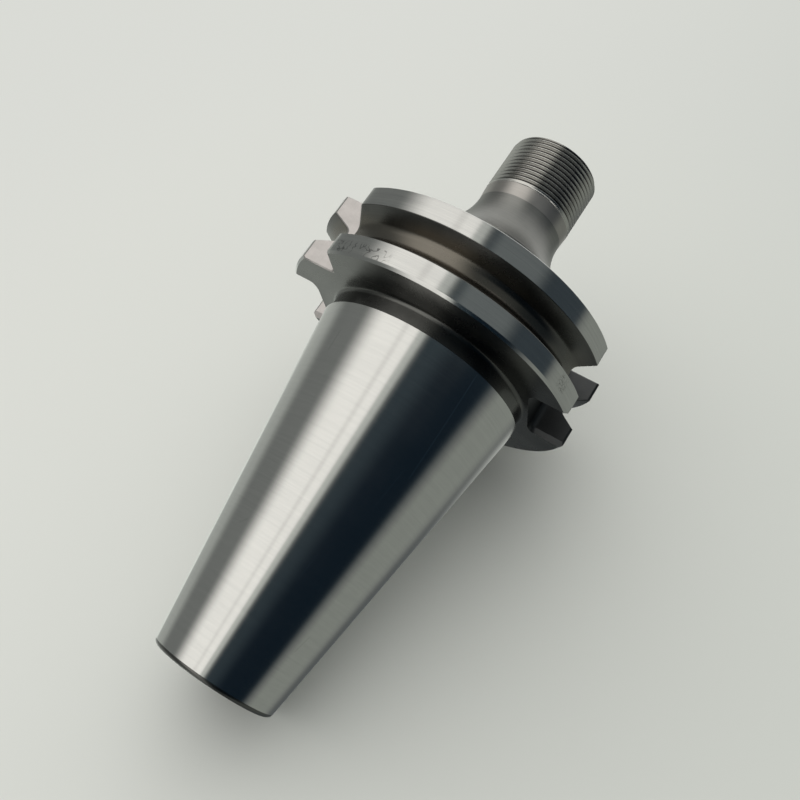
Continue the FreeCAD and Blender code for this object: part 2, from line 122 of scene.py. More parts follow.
# ---------------------------------------------------------------- skin of the holder
class Skin:
    """Points and faces of the holder's closed skin; each face knows its finish."""

    def __init__(self):
        self.points = []
        self.faces = []
        self.finishes = []

    def add_ring(self, points):
        first = len(self.points)
        self.points.extend(points)
        return list(range(first, first + len(points)))

    def add_face(self, corners, finish):
        self.faces.append(corners)
        self.finishes.append(FINISHES.index(finish))

    def bridge(self, low, high, finish_of):
        """Quads between two rings of equal count; finish_of names the finish of side j."""
        count = len(low)
        for j in range(count):
            k = (j + 1) % count
            self.add_face((low[j], low[k], high[k], high[j]), finish_of(j))

    def fan(self, ring, tip, finish):
        count = len(ring)
        for j in range(count):
            self.add_face((ring[j], ring[(j + 1) % count], tip), finish)


def circle(radius, height):
    """One ring about the spindle axis."""
    turn = 2 * math.pi / AROUND
    return [(radius * math.cos(j * turn), radius * math.sin(j * turn), height)
            for j in range(AROUND)]


def arc_points(centre, radius, begin, end, steps):
    """Points of an arc in a profile, (radius, height) pairs, angles in degrees."""
    points = []
    for i in range(steps + 1):
        angle = math.radians(begin + (end - begin) * i / steps)
        points.append((centre[0] + radius * math.cos(angle), centre[1] + radius * math.sin(angle)))
    return points


def lathe(skin, stretches):
    """Turned skin. Each stretch is (finish, profile); profiles follow one another."""
    last = None
    for finish, profile in stretches:
        for radius, height in profile:
            if radius == 0:
                tip = skin.add_ring([(0, 0, height)])[0]
                if last is not None:
                    skin.fan(last, tip, finish)
                return
            if last is not None and last_spot == (radius, height):
                continue
            ring = skin.add_ring(circle(radius, height))
            if last is not None:
                skin.bridge(last, ring, lambda j: finish)
            last = ring
            last_spot = (radius, height)


# ---------------------------------------------------------------- flange outline
def outer_corner(radius, half):
    """Where a slot wall ends and where the outside begins, at one radius and half width."""
    rim_x = math.sqrt(FLANGE_RADIUS ** 2 - SLOT_HALF ** 2)
    chamfer_x = rim_x - SLOT_OUTER_CHAMFER
    wall_x = chamfer_x + half - SLOT_HALF
    edge_x = math.sqrt(radius ** 2 - half ** 2)
    if wall_x < edge_x - EDGE_BREAK:
        lift = SLOT_HALF - chamfer_x
        out_x = (-lift + math.sqrt(2 * radius ** 2 - lift ** 2)) / 2
        return (wall_x, half), (out_x, out_x + lift)
    high = half + EDGE_BREAK
    return (edge_x - EDGE_BREAK, half), (math.sqrt(radius ** 2 - high ** 2), high)


def slot_side(reach, radius, widen):
    """Half a slot in the +X, +Y quarter, from the middle of its bottom out to the rim."""
    half = SLOT_HALF + widen
    flat = SLOT_HALF - SLOT_CORNER
    wall_end, rim_start = outer_corner(radius, half)
    points = [(reach, flat * i / 3) for i in range(3)]
    for i in range(7):
        angle = math.pi / 2 * i / 6
        points.append((reach + SLOT_CORNER * (1 - math.cos(angle)),
                       flat + (SLOT_CORNER + widen) * math.sin(angle)))
    foot_x = reach + SLOT_CORNER
    for i in range(1, 4):
        points.append((foot_x + (wall_end[0] - foot_x) * i / 4, half))
    return points + [wall_end, rim_start]


def arc_between(start, end, radius, steps):
    """Points on the outside strictly between two points, anticlockwise."""
    begin = math.atan2(start[1], start[0])
    finish = math.atan2(end[1], end[0])
    while finish < begin:
        finish += 2 * math.pi
    points = []
    for i in range(1, steps):
        angle = begin + (finish - begin) * i / steps
        points.append((radius * math.cos(angle), radius * math.sin(angle)))
    return points


def notch_points(radius, widen):
    """The notch from the rim along one wall, round its corner and out to the rim again."""
    reach = NOTCH_REACH - widen
    edge = math.sqrt(radius ** 2 - reach ** 2) - NOTCH_EDGE
    low = reach - NOTCH_EDGE
    rim = math.sqrt(radius ** 2 - low ** 2)
    foot = reach + NOTCH_CORNER
    way_in = [(-rim, -low)]
    way_in += [(-edge + (edge - foot) * i / 3, -reach) for i in range(4)]
    corner = []
    for i in range(1, 6):
        angle = math.pi / 2 * i / 6
        corner.append((-foot + NOTCH_CORNER * math.sin(angle),
                       -foot + NOTCH_CORNER * math.cos(angle)))
    way_out = [(y, x) for x, y in reversed(way_in)]
    return way_in + corner + way_out


def flange_outline(radius, slot_widen, notch_widen):
    """Closed outline of the flange at one height, anticlockwise, with each side's kind."""
    deep = slot_side(DEEP_REACH, radius, slot_widen)
    shallow = slot_side(SHALLOW_REACH, radius, slot_widen)
    notch = notch_points(radius, notch_widen)
    deep_up = deep
    shallow_in = [(-x, y) for x, y in reversed(shallow)]
    shallow_out = [(-x, -y) for x, y in shallow[1:]]
    deep_in = [(x, -y) for x, y in reversed(deep[1:])]
    points = []
    kinds = []

    def take(stretch, kind):
        points.extend(stretch)
        kinds.extend([kind] * len(stretch))

    take(deep_up[:-1], "wall")
    take(deep_up[-1:], "rim")
    take(arc_between(deep_up[-1], shallow_in[0], radius, TEETH["top"]), "rim")
    take(shallow_in, "wall")
    take(shallow_out[:-1], "wall")
    take(shallow_out[-1:], "rim")
    take(arc_between(shallow_out[-1], notch[0], radius, TEETH["side"]), "rim")
    take(notch[:-1], "wall")
    take(notch[-1:], "rim")
    take(arc_between(notch[-1], deep_in[0], radius, TEETH["bottom"]), "rim")
    take(deep_in, "wall")
    return points, kinds


def flange_profile():
    """(finish, height, radius) from the rear face to the front face, along the outside."""
    lean = math.cos(FLANK_ANGLE)
    rise = math.sin(FLANK_ANGLE)
    lip = GROOVE_FOOT + (FLANGE_RADIUS - GROOVE_RADIUS) * math.tan(FLANK_ANGLE)
    tangent = GROOVE_FOOT_RADIUS * math.tan((math.pi / 2 - FLANK_ANGLE) / 2)
    floor = GROOVE_FOOT - tangent
    foot_centre = GROOVE_RADIUS + GROOVE_FOOT_RADIUS
    half = [("ground_ring", lip + RIDGE_BREAK, FLANGE_RADIUS),
            ("turned_flange", lip - RIDGE_BREAK * rise, FLANGE_RADIUS - RIDGE_BREAK * lean)]
    for i in range(6):
        angle = math.radians(120 + 12 * i)
        half.append(("turned_flange", floor + GROOVE_FOOT_RADIUS * math.sin(angle),
                     foot_centre + GROOVE_FOOT_RADIUS * math.cos(angle)))
    rear = [("ground_ring", REAR_FACE, FLANGE_RADIUS - REAR_RIM),
            ("ground_ring", REAR_FACE + NOTCH_EDGE, FLANGE_RADIUS - REAR_RIM + NOTCH_EDGE),
            ("ground_ring", REAR_FACE + REAR_RIM, FLANGE_RADIUS),
            ("ground_ring", REAR_FACE + SLOT_REAR_CHAMFER, FLANGE_RADIUS)]
    front = [("ground_ring", FRONT_FACE - SLOT_FRONT_CHAMFER, FLANGE_RADIUS),
             ("ground_ring", FRONT_FACE - NOTCH_EDGE, FLANGE_RADIUS),
             ("ground_ring", FRONT_FACE - FRONT_RIM, FLANGE_RADIUS),
             ("ground_ring", FRONT_FACE, FLANGE_RADIUS - FRONT_RIM)]
    lower = [(finish, GROOVE_MIDDLE - up, radius) for finish, up, radius in half]
    upper = [(finish, GROOVE_MIDDLE + up, radius) for finish, up, radius in reversed(half)]
    return rear + lower + upper + front


def widening(height, rear_size, front_size):
    """How much a slot is wider at this height for its edges at the two faces."""
    return max(0.0, rear_size - (height - REAR_FACE), front_size - (FRONT_FACE - height))


def face_fill(skin, outline, inner, finish):
    """Flat face of the flange between its outline and an inner circle of rings' points."""
    outline_spots = [Vector(skin.points[i][:2]) for i in outline]
    inner_spots = [Vector(skin.points[i][:2]) for i in inner]
    count = len(outline)
    edges = [(i, (i + 1) % count) for i in range(count)]
    edges += [(count + i, count + (i + 1) % len(inner)) for i in range(len(inner))]
    spots, _, faces, origins, _, _ = delaunay_2d_cdt(
        outline_spots + inner_spots, edges, [], 1, 1e-5)
    inner_radius = inner_spots[0].length
    index = [outline[o[0]] if o[0] < count else inner[o[0] - count] for o in origins]
    for face in faces:
        middle = sum((spots[i] for i in face), Vector((0, 0))) / 3
        if middle.length > inner_radius * 0.9999:
            skin.add_face(tuple(index[i] for i in face), finish)


def flange_skin(skin, rear_circle, front_circle):
    """Both rings, the V groove, the slots and the notch, and the two flat faces."""
    last = None
    for finish, height, radius in flange_profile():
        slot_widen = widening(height, SLOT_REAR_CHAMFER, SLOT_FRONT_CHAMFER)
        notch_widen = widening(height, NOTCH_EDGE, NOTCH_EDGE)
        points, kinds = flange_outline(radius, slot_widen, notch_widen)
        ring = skin.add_ring([(x, y, height) for x, y in points])
        if last is None:
            face_fill(skin, ring, rear_circle, "turned_flange")
        else:
            both = finish if finish == last_finish else "turned_flange"
            skin.bridge(last, ring, lambda j: both if kinds[j] == "rim" else "milled_wall")
        last = ring
        last_finish = finish
    face_fill(skin, last, front_circle, "turned_flange")


def build_holder_skin():
    skin = Skin()
    taper_radius = GAUGE_RADIUS - (GAUGE_LINE - TAPER_TOP) * TAPER_SLOPE
    taper_angle = math.degrees(math.atan(TAPER_SLOPE))
    # rounded edge of the small end, tangent to the end face and to the taper
    slope_length = math.sqrt(1 + TAPER_SLOPE ** 2)
    round_x = SMALL_RADIUS + SMALL_END_ROUND * (TAPER_SLOPE - slope_length)
    small_edge = arc_points((round_x, SMALL_END_ROUND), SMALL_END_ROUND, -90, -taper_angle, 7)
    pilot_mouth = PILOT_RADIUS + MOUTH_CHAMFER
    relief_foot = REAR_FACE - RELIEF_FILLET
    fillet = arc_points((RELIEF_RADIUS + RELIEF_FILLET, relief_foot), RELIEF_FILLET, 180, 90, 6)
    drill = math.tan(math.radians(59))
    passage_rear = CORE_DEPTH + (CORE_RADIUS - PASSAGE_RADIUS) / drill
    passage_front = SHANK_BORE_END - (SHANK_BORE_RADIUS - PASSAGE_RADIUS) / drill
    lathe(skin, [
        ("bored_inside", [(PASSAGE_RADIUS, passage_front), (PASSAGE_RADIUS, passage_rear),
                          (CORE_RADIUS, CORE_DEPTH), (CORE_RADIUS, PILOT_DEPTH),
                          (PILOT_RADIUS, PILOT_DEPTH), (PILOT_RADIUS, MOUTH_CHAMFER),
                          (pilot_mouth, 0)]),
        ("turned_flange", [(pilot_mouth, 0)] + small_edge),
        ("ground_taper", small_edge[-1:] + [(taper_radius, TAPER_TOP - EDGE_BREAK)]),
        ("turned_flange", [(taper_radius, TAPER_TOP - EDGE_BREAK),
                           (taper_radius - EDGE_BREAK, TAPER_TOP),
                           (RELIEF_RADIUS, TAPER_TOP)] + fillet),
    ])
    rear_circle = list(range(len(skin.points) - AROUND, len(skin.points)))
    flare_centre = (NECK_RADIUS + FLARE_RADIUS, FLARE_START)
    flare_lean = math.degrees(math.acos((flare_centre[0] - HUB_RADIUS) / FLARE_RADIUS))
    flare = arc_points(flare_centre, FLARE_RADIUS, 180 + flare_lean, 180, 16)
    hub_foot = 0.4
    hub = arc_points((HUB_RADIUS + hub_foot, FRONT_FACE + hub_foot), hub_foot, 270, 180, 4)
    front_first = len(skin.points)
    lathe(skin, [
        ("turned_neck", hub + flare + [(NECK_RADIUS, RUNOUT_START)]),
        ("runout_band", [(NECK_RADIUS, RUNOUT_START), (RUNOUT_RADIUS, THREAD_START),
                         (THREAD_RADIUS - THREAD_REAR_CHAMFER, THREAD_START)]),
    ])
    front_circle = list(range(front_first, front_first + AROUND))
    flange_skin(skin, rear_circle, front_circle)
    nose_radius = THREAD_RADIUS - NOSE_CHAMFER
    lathe(skin, [
        ("turned_flange", [(nose_radius, NOSE_END), (COLLET_MOUTH_RADIUS + 0.2, NOSE_END)]),
        ("bored_inside", [(COLLET_MOUTH_RADIUS + 0.2, NOSE_END),
                          (COLLET_MOUTH_RADIUS - 0.02, NOSE_END - 0.2),
                          (SHANK_BORE_RADIUS, NOSE_END - COLLET_CONE),
                          (SHANK_BORE_RADIUS, SHANK_BORE_END),
                          (PASSAGE_RADIUS, passage_front)]),
    ])
    return skin


def mesh_from_skin(skin, name):
    mesh = bpy.data.meshes.new(name)
    mesh.from_pydata([tuple(c * MM for c in point) for point in skin.points], [], skin.faces)
    for finish in FINISHES:
        mesh.materials.append(bpy.data.materials[finish])
    mesh.polygons.foreach_set("material_index", skin.finishes)
    return mesh


# ---------------------------------------------------------------- nose thread
class NodeRows:
    """Short way to write nodes: each call adds one node and returns its first output."""

    def __init__(self, tree):
        self.tree = tree

    def node(self, kind, **settings):
        node = self.tree.nodes.new(kind)
        for key, value in settings.items():
            setattr(node, key, value)
        return node

    def put(self, socket, value):
        if isinstance(value, bpy.types.NodeSocket):
            self.tree.links.new(value, socket)
        else:
            socket.default_value = value

    def math(self, operation, *values, clamp=False):
        node = self.node("ShaderNodeMath", operation=operation, use_clamp=clamp)
        for socket, value in zip(node.inputs, values):
            self.put(socket, value)
        return node.outputs[0]

    def combine(self, x, y, z):
        node = self.node("ShaderNodeCombineXYZ")
        for socket, value in zip(node.inputs, (x, y, z)):
            self.put(socket, value)
        return node.outputs[0]

    def smooth(self, value, low, high, to_low=0.0, to_high=1.0):
        """Smooth step of a value from low to high."""
        node = self.node("ShaderNodeMapRange", interpolation_type="SMOOTHSTEP")
        for socket, given in zip(node.inputs, (value, low, high, to_low, to_high)):
            self.put(socket, given)
        return node.outputs[0]

    def ramp(self, value, low, high, to_low=0.0, to_high=1.0):
        """Straight ramp of a value from low to high, clamped."""
        node = self.node("ShaderNodeMapRange", interpolation_type="LINEAR", clamp=True)
        for socket, given in zip(node.inputs, (value, low, high, to_low, to_high)):
            self.put(socket, given)
        return node.outputs[0]


ROWS_PER_TURN = 8
CREST_SHARE = 1 / 16
THREAD_INPUTS = [
    # name, kind, value
    ("Crest radius", "NodeSocketFloat", THREAD_RADIUS * MM),
    ("Pitch", "NodeSocketFloat", THREAD_PITCH * MM),
    ("Depth", "NodeSocketFloat", THREAD_DEPTH * MM),
    ("Rear end", "NodeSocketFloat", THREAD_START * MM),
    ("Nose end", "NodeSocketFloat", NOSE_END * MM),
    ("Rear chamfer", "NodeSocketFloat", THREAD_REAR_CHAMFER * MM),
    ("Nose chamfer", "NodeSocketFloat", NOSE_CHAMFER * MM),
    ("Run-in", "NodeSocketFloat", 1.1 * MM),
    ("Sides", "NodeSocketInt", AROUND),
    ("Turns", "NodeSocketInt", 15),
    ("Finish", "NodeSocketMaterial", None),
]


def thread_tree():
    """Skin of a right-hand thread between two plain circles, for a modifier."""
    tree = bpy.data.node_groups.new("nose_thread", "GeometryNodeTree")
    for name, kind, value in THREAD_INPUTS:
        socket = tree.interface.new_socket(name=name, in_out="INPUT", socket_type=kind)
        if value is not None:
            socket.default_value = value
    tree.interface.new_socket(name="Geometry", in_out="OUTPUT", socket_type="NodeSocketGeometry")
    rows = NodeRows(tree)
    given = rows.node("NodeGroupInput").outputs
    turns = given["Turns"]
    grid = rows.node("GeometryNodeMeshGrid")
    rows.put(grid.inputs["Size X"], 1.0)
    rows.put(grid.inputs["Size Y"], 1.0)
    rows.put(grid.inputs["Vertices X"], rows.math("ADD", given["Sides"], 1.0))
    row_count = rows.math("MULTIPLY", turns, float(ROWS_PER_TURN))
    rows.put(grid.inputs["Vertices Y"], rows.math("ADD", row_count, 1.0))
    place = rows.node("ShaderNodeSeparateXYZ")
    rows.put(place.inputs[0], rows.node("GeometryNodeInputPosition").outputs[0])
    around = rows.math("ADD", place.outputs[0], 0.5)
    along = rows.math("MULTIPLY", rows.math("ADD", place.outputs[1], 0.5), turns)
    # turn counted from the rear end; each row keeps its place in the thread's form
    turn = rows.math("SUBTRACT", along, 1.0 + CREST_SHARE)
    form = rows.math("PINGPONG", rows.math("ADD", turn, 2.0), 0.5)
    cut_share = rows.ramp(form, CREST_SHARE, 0.5 - CREST_SHARE)
    raw = rows.math("MULTIPLY", rows.math("ADD", turn, around), given["Pitch"])
    raw = rows.math("ADD", raw, given["Rear end"])
    height = rows.math("MINIMUM", rows.math("MAXIMUM", raw, given["Rear end"]), given["Nose end"])
    from_rear = rows.math("SUBTRACT", height, given["Rear end"])
    from_nose = rows.math("SUBTRACT", given["Nose end"], height)
    half_chamfer = rows.math("MULTIPLY", given["Rear chamfer"], 0.5)
    fade = rows.smooth(from_rear, half_chamfer, given["Run-in"])
    cut = rows.math("MULTIPLY", rows.math("MULTIPLY", cut_share, fade), given["Depth"])
    # at the nose the form ends on the chamfer's own circle
    at_nose = rows.math("LESS_THAN", from_nose, 1e-6)
    cut = rows.math("MULTIPLY", cut, rows.math("SUBTRACT", 1.0, at_nose))
    rear_cone = rows.math("SUBTRACT", given["Rear chamfer"], from_rear)
    nose_cone = rows.math("SUBTRACT", given["Nose chamfer"], from_nose)
    deepest = rows.math("MAXIMUM", cut, rows.math("MAXIMUM", rear_cone, nose_cone))
    radius = rows.math("SUBTRACT", given["Crest radius"], deepest)
    angle = rows.math("MULTIPLY", around, 2 * math.pi)
    spot = rows.combine(rows.math("MULTIPLY", radius, rows.math("COSINE", angle)),
                        rows.math("MULTIPLY", radius, rows.math("SINE", angle)), height)
    shaped = rows.node("GeometryNodeSetPosition")
    rows.put(shaped.inputs["Geometry"], grid.outputs["Mesh"])
    rows.put(shaped.inputs["Position"], spot)
    merged = rows.node("GeometryNodeMergeByDistance")
    rows.put(merged.inputs["Geometry"], shaped.outputs[0])
    rows.put(merged.inputs["Distance"], 0.002 * MM)
    real = rows.node("GeometryNodeRealizeInstances")
    rows.put(real.inputs[0], merged.outputs[0])
    finish = rows.node("GeometryNodeSetMaterial")
    rows.put(finish.inputs["Geometry"], real.outputs[0])
    rows.put(finish.inputs["Material"], given["Finish"])
    rows.put(rows.node("NodeGroupOutput").inputs[0], finish.outputs[0])
    return tree


def build_thread():
    """The thread's tree run once on an empty mesh, kept as a plain mesh."""
    carrier = bpy.data.objects.new("thread_carrier", bpy.data.meshes.new("thread_carrier"))
    bpy.context.scene.collection.objects.link(carrier)
    modifier = carrier.modifiers.new("thread", "NODES")
    modifier.node_group = thread_tree()
    for item in modifier.node_group.interface.items_tree:
        if item.in_out == "INPUT" and item.name == "Finish":
            modifier[item.identifier] = bpy.data.materials["cut_thread"]
        elif item.in_out == "INPUT":
            modifier[item.identifier] = item.default_value
    evaluated = carrier.evaluated_get(bpy.context.evaluated_depsgraph_get())
    mesh = bpy.data.meshes.new_from_object(evaluated)
    bpy.data.objects.remove(carrier)
    return mesh


# ---------------------------------------------------------------- finishes
BRIGHT_SCRATCH = (0.95, 0.95, 0.93)
DULL_SCRATCH = (0.3, 0.3, 0.3)
RUB_MARK = (0.10, 0.10, 0.10)
# painted shade: the colour the thread's valleys darken to
THREAD_ROOT_PAINTED_SHADE = (0.06, 0.06, 0.06)
# painted dark reflection: the near-black colour of the slot walls at the +X side
SLOT_PAINTED_DARK_REFLECTION = (0.075, 0.078, 0.08)


def new_finish(name, roughness, anisotropy):
    """A steel material with its shader; colour, roughness and bump are linked by the caller."""
    material = bpy.data.materials.new(name)
    material.use_nodes = True
    shader = material.node_tree.nodes["Principled BSDF"]
    shader.inputs["Metallic"].default_value = 1.0
    shader.inputs["Roughness"].default_value = roughness
    shader.inputs["Anisotropic"].default_value = anisotropy
    return material, shader, NodeRows(material.node_tree)


class Turning:
    """Coordinates that follow work turned or ground round the spindle axis."""

    def __init__(self, rows):
        self.rows = rows
        place = rows.node("ShaderNodeTexCoord").outputs["Object"]
        split = rows.node("ShaderNodeSeparateXYZ")
        rows.put(split.inputs[0], place)
        self.place = place
        self.x, self.y, self.height = split.outputs
        self.radius = rows.math("SQRT", rows.math(
            "ADD", rows.math("MULTIPLY", self.x, self.x), rows.math("MULTIPLY", self.y, self.y)))
        self.side_x = rows.math("DIVIDE", self.x, self.radius)
        self.side_y = rows.math("DIVIDE", self.y, self.radius)

    def noise(self, around, along, across=0.0, detail=2.0, seed=0.0):
        """Noise with its own fineness around the axis, along it and across it, per metre."""
        rows = self.rows
        third = rows.math("MULTIPLY", self.height, along)
        if across:
            third = rows.math("ADD", third, rows.math("MULTIPLY", self.radius, across))
        third = rows.math("ADD", third, seed)
        spot = rows.combine(rows.math("MULTIPLY", self.side_x, around),
                            rows.math("MULTIPLY", self.side_y, around), third)
        return grain(rows, spot, 1.0, detail)


def grain(rows, spot, scale, detail=2.0, roughness=0.5):
    node = rows.node("ShaderNodeTexNoise")
    rows.put(node.inputs["Vector"], spot)
    node.inputs["Scale"].default_value = scale
    node.inputs["Detail"].default_value = detail
    node.inputs["Roughness"].default_value = roughness
    return node.outputs["Fac"]


def blend_colors(rows, share, low, high):
    node = rows.node("ShaderNodeMix", data_type="RGBA")
    rows.put(node.inputs["Factor"], share)
    for socket, value in zip([i for i in node.inputs if i.type == "RGBA"], (low, high)):
        rows.put(socket, value if isinstance(value, bpy.types.NodeSocket) else (*value, 1))
    return [o for o in node.outputs if o.type == "RGBA"][0]


def add_bump(rows, shader, layers):
    """Bumps in turn, each (height, depth in metres), into the shader's normal."""
    normal = None
    for height, depth in layers:
        node = rows.node("ShaderNodeBump")
        node.inputs["Strength"].default_value = 1.0
        node.inputs["Distance"].default_value = depth
        rows.put(node.inputs["Height"], height)
        if normal:
            rows.put(node.inputs["Normal"], normal)
        normal = node.outputs[0]
    rows.put(shader.inputs["Normal"], normal)


def along_axis(rows, shader):
    """Sheen of work cut round the axis: reflections are drawn out along it."""
    rows.put(shader.inputs["Tangent"], rows.combine(0.0, 0.0, 1.0))


def ground_finish(name, roughness, anisotropy, light, dark,
                  scratches=(), marked=False):
    """Cylindrically ground steel: fine rings, faint chatter and a few stains."""
    material, shader, rows = new_finish(name, roughness, anisotropy)
    turning = Turning(rows)
    fine = turning.noise(1.2, 5200.0, detail=3.0)
    rings = turning.noise(2.5, 1500.0, detail=2.0, seed=7.0)
    broad = turning.noise(1.6, 160.0, detail=2.0, seed=3.0)
    stain = grain(rows, turning.place, 90.0, 4.0)
    lines = rows.math("ADD", rows.math("MULTIPLY", fine, 0.6), rows.math("MULTIPLY", rings, 0.4))
    shade = rows.math("ADD", rows.math("MULTIPLY", rows.ramp(lines, 0.35, 0.65), 0.7),
                      rows.math("MULTIPLY", rows.ramp(stain, 0.4, 0.7), 0.3))
    color = blend_colors(rows, shade, dark, light)
    for start, end, width, strength in scratches:
        line = rows.math("MULTIPLY", hairline(rows, turning, start, end, width), strength)
        mark = BRIGHT_SCRATCH if strength > 0.5 else DULL_SCRATCH
        color = blend_colors(rows, line, color, mark)
    if marked:
        scribble = rubbed_lines(rows, turning, 620.0, 9.0)
        rubbed = rows.math("MULTIPLY", scribble, band_mask(rows, turning, -112, 14, 71.9, 74.6))
        spot = rows.math("MULTIPLY", rubbed_lines(rows, turning, 1500.0, 2.0),
                         band_mask(rows, turning, -28.2, 3.2, 72.6, 75.6))
        marks = rows.math("MINIMUM", rows.math("ADD", rubbed, spot), 1.0)
        color = blend_colors(rows, rows.math("MULTIPLY", marks, 0.75), color, RUB_MARK)
    rows.put(shader.inputs["Base Color"], color)
    spread = rows.math("ADD", rows.math("MULTIPLY", lines, 0.05),
                       rows.math("MULTIPLY", broad, 0.04))
    rows.put(shader.inputs["Roughness"], rows.math("ADD", spread, roughness - 0.045))
    chatter = turning.noise(34.0, 900.0, detail=1.0, seed=11.0)
    add_bump(rows, shader, [(lines, 0.0000006), (chatter, 0.0000004)])
    along_axis(rows, shader)
    return material


def turned_finish(name, roughness, anisotropy, light, dark, pitch, depth, tint=None, root=None):
    """Turned steel: feed lines along both the axis and the faces, darker where it has toned, with
    painted shade in the thread's valleys where a root is given.
    """
    material, shader, rows = new_finish(name, roughness, anisotropy)
    turning = Turning(rows)
    feed = turning.noise(1.5, 1 / (pitch * MM), across=1 / (pitch * MM), detail=2.0)
    patch = grain(rows, turning.place, 130.0, 5.0, 0.6)
    shade = rows.math("ADD", rows.math("MULTIPLY", rows.ramp(feed, 0.3, 0.7), 0.35),
                      rows.math("MULTIPLY", rows.ramp(patch, 0.3, 0.7), 0.65))
    color = blend_colors(rows, shade, dark, light)
    if tint:
        warm = grain(rows, turning.place, 45.0, 2.0)
        groove = rows.smooth(rows.math("ABSOLUTE", rows.math(
            "SUBTRACT", turning.height, GROOVE_MIDDLE * MM)), 3.4 * MM, 2.0 * MM)
        share = rows.math("MULTIPLY", rows.ramp(warm, 0.4, 0.65), 0.8)
        color = blend_colors(rows, rows.math("MULTIPLY", share, groove), color, tint)
    # painted shade: colour darkened from near the root radius down into the thread's valleys
    if root:
        root_painted_shade_share = rows.smooth(turning.radius, root[0] * MM, root[1] * MM)
        color = blend_colors(rows, root_painted_shade_share, THREAD_ROOT_PAINTED_SHADE, color)
    rows.put(shader.inputs["Base Color"], color)
    rows.put(shader.inputs["Roughness"], rows.math(
        "ADD", rows.math("MULTIPLY", patch, 0.16), roughness - 0.08))
    add_bump(rows, shader, [(feed, depth), (patch, depth * 1.5)])
    along_axis(rows, shader)
    return material


def milled_finish(name, roughness, light, dark):
    """Milled slot walls: cloudy marks and cutter lines up the wall, and a painted dark reflection
    on the walls at the +X side.
    """
    material, shader, rows = new_finish(name, roughness, 0.0)
    turning = Turning(rows)
    cloud = grain(rows, turning.place, 420.0, 5.0, 0.65)
    stretched = rows.combine(rows.math("MULTIPLY", turning.x, 2600.0),
                             rows.math("MULTIPLY", turning.y, 2600.0),
                             rows.math("MULTIPLY", turning.height, 160.0))
    lines = grain(rows, stretched, 1.0, 2.0)
    shade = rows.math("ADD", rows.math("MULTIPLY", rows.ramp(cloud, 0.35, 0.68), 0.7),
                      rows.math("MULTIPLY", lines, 0.3))
    color = blend_colors(rows, shade, dark, light)
    # painted dark reflection: walls at the +X side are coloured near black, standing in for the
    # dark they reflect
    painted_dark_reflection_share = rows.smooth(turning.x, 0.0, 12 * MM)
    color = blend_colors(rows, painted_dark_reflection_share, color, SLOT_PAINTED_DARK_REFLECTION)
    rows.put(shader.inputs["Base Color"], color)
    rows.put(shader.inputs["Roughness"], rows.math(
        "ADD", rows.math("MULTIPLY", cloud, 0.2), roughness - 0.1))
    add_bump(rows, shader, [(lines, 0.000003), (cloud, 0.000004)])
    return material


def band_mask(rows, turning, heading, half_width, low, high):
    """1 inside a patch of the surface: round a heading in degrees, between two heights in mm."""
    aim = math.radians(heading)
    facing = rows.math("ADD", rows.math("MULTIPLY", turning.side_x, math.cos(aim)),
                       rows.math("MULTIPLY", turning.side_y, math.sin(aim)))
    edge = math.cos(math.radians(half_width))
    inner = math.cos(math.radians(half_width * 0.6))
    middle, reach = (low + high) / 2 * MM, (high - low) / 2 * MM
    off = rows.math("ABSOLUTE", rows.math("SUBTRACT", turning.height, middle))
    return rows.math("MULTIPLY", rows.smooth(facing, edge, inner),
                     rows.smooth(off, reach, reach * 0.7))


def hairline(rows, turning, start, end, width):
    """A hairline scratch from (heading in degrees, height in mm) to another such place."""
    slope = math.radians(end[0] - start[0]) / ((end[1] - start[1]) * MM)
    angle = rows.math("ARCTAN2", turning.y, turning.x)
    line = rows.math("ADD", rows.math("MULTIPLY", rows.math(
        "SUBTRACT", turning.height, start[1] * MM), slope), math.radians(start[0]))
    off = rows.math("MULTIPLY", rows.math("ABSOLUTE", rows.math("SUBTRACT", angle, line)),
                    turning.radius)
    middle, reach = (start[1] + end[1]) / 2 * MM, abs(end[1] - start[1]) / 2 * MM
    beyond = rows.math("ABSOLUTE", rows.math("SUBTRACT", turning.height, middle))
    return rows.math("MULTIPLY", rows.smooth(off, width * MM, width * MM * 0.4),
                     rows.smooth(beyond, reach, reach * 0.9))


def rubbed_lines(rows, turning, fineness, seed):
    """Short curling rub marks, thin where noise crosses its middle value."""
    spot = rows.combine(rows.math("MULTIPLY", turning.x, fineness),
                        rows.math("MULTIPLY", turning.y, fineness),
                        rows.math("ADD", rows.math("MULTIPLY", turning.height, fineness), seed))
    off = rows.math("ABSOLUTE", rows.math("SUBTRACT", grain(rows, spot, 1.0, 1.5), 0.5))
    return rows.smooth(off, 0.03, 0.008)


TAPER_SCRATCHES = [
    # from (heading in degrees, height in mm), to the same, half width in mm, strength
    ((-48.6, 68.0), (-43.9, 46.0), 0.10, 0.9), ((-50.6, 38.5), (-49.2, 47.0), 0.07, 0.6),
    ((-62.0, 22.0), (-61.2, 27.5), 0.07, 0.6), ((-117.0, 24.5), (-111.0, 26.0), 0.08, 0.35),
    ((-121.0, 58.0), (-119.8, 62.5), 0.08, 0.35), ((-32.0, 12.0), (-29.5, 15.5), 0.08, 0.35),
    ((70.0, 30.0), (76.0, 52.0), 0.08, 0.6), ((155.0, 41.0), (150.0, 60.0), 0.08, 0.35),
]
ground_finish("ground_taper", 0.15, 0.87, (0.63, 0.63, 0.615), (0.575, 0.575, 0.565),
              scratches=TAPER_SCRATCHES)
ground_finish("ground_ring", 0.13, 0.7, (0.60, 0.60, 0.585), (0.50, 0.50, 0.495), marked=True)
turned_finish("turned_flange", 0.27, 0.3, (0.155, 0.155, 0.148), (0.085, 0.086, 0.083),
              0.12, 0.0000015, tint=(0.215, 0.19, 0.155))
milled_finish("milled_wall", 0.42, (0.60, 0.57, 0.56), (0.44, 0.42, 0.41))
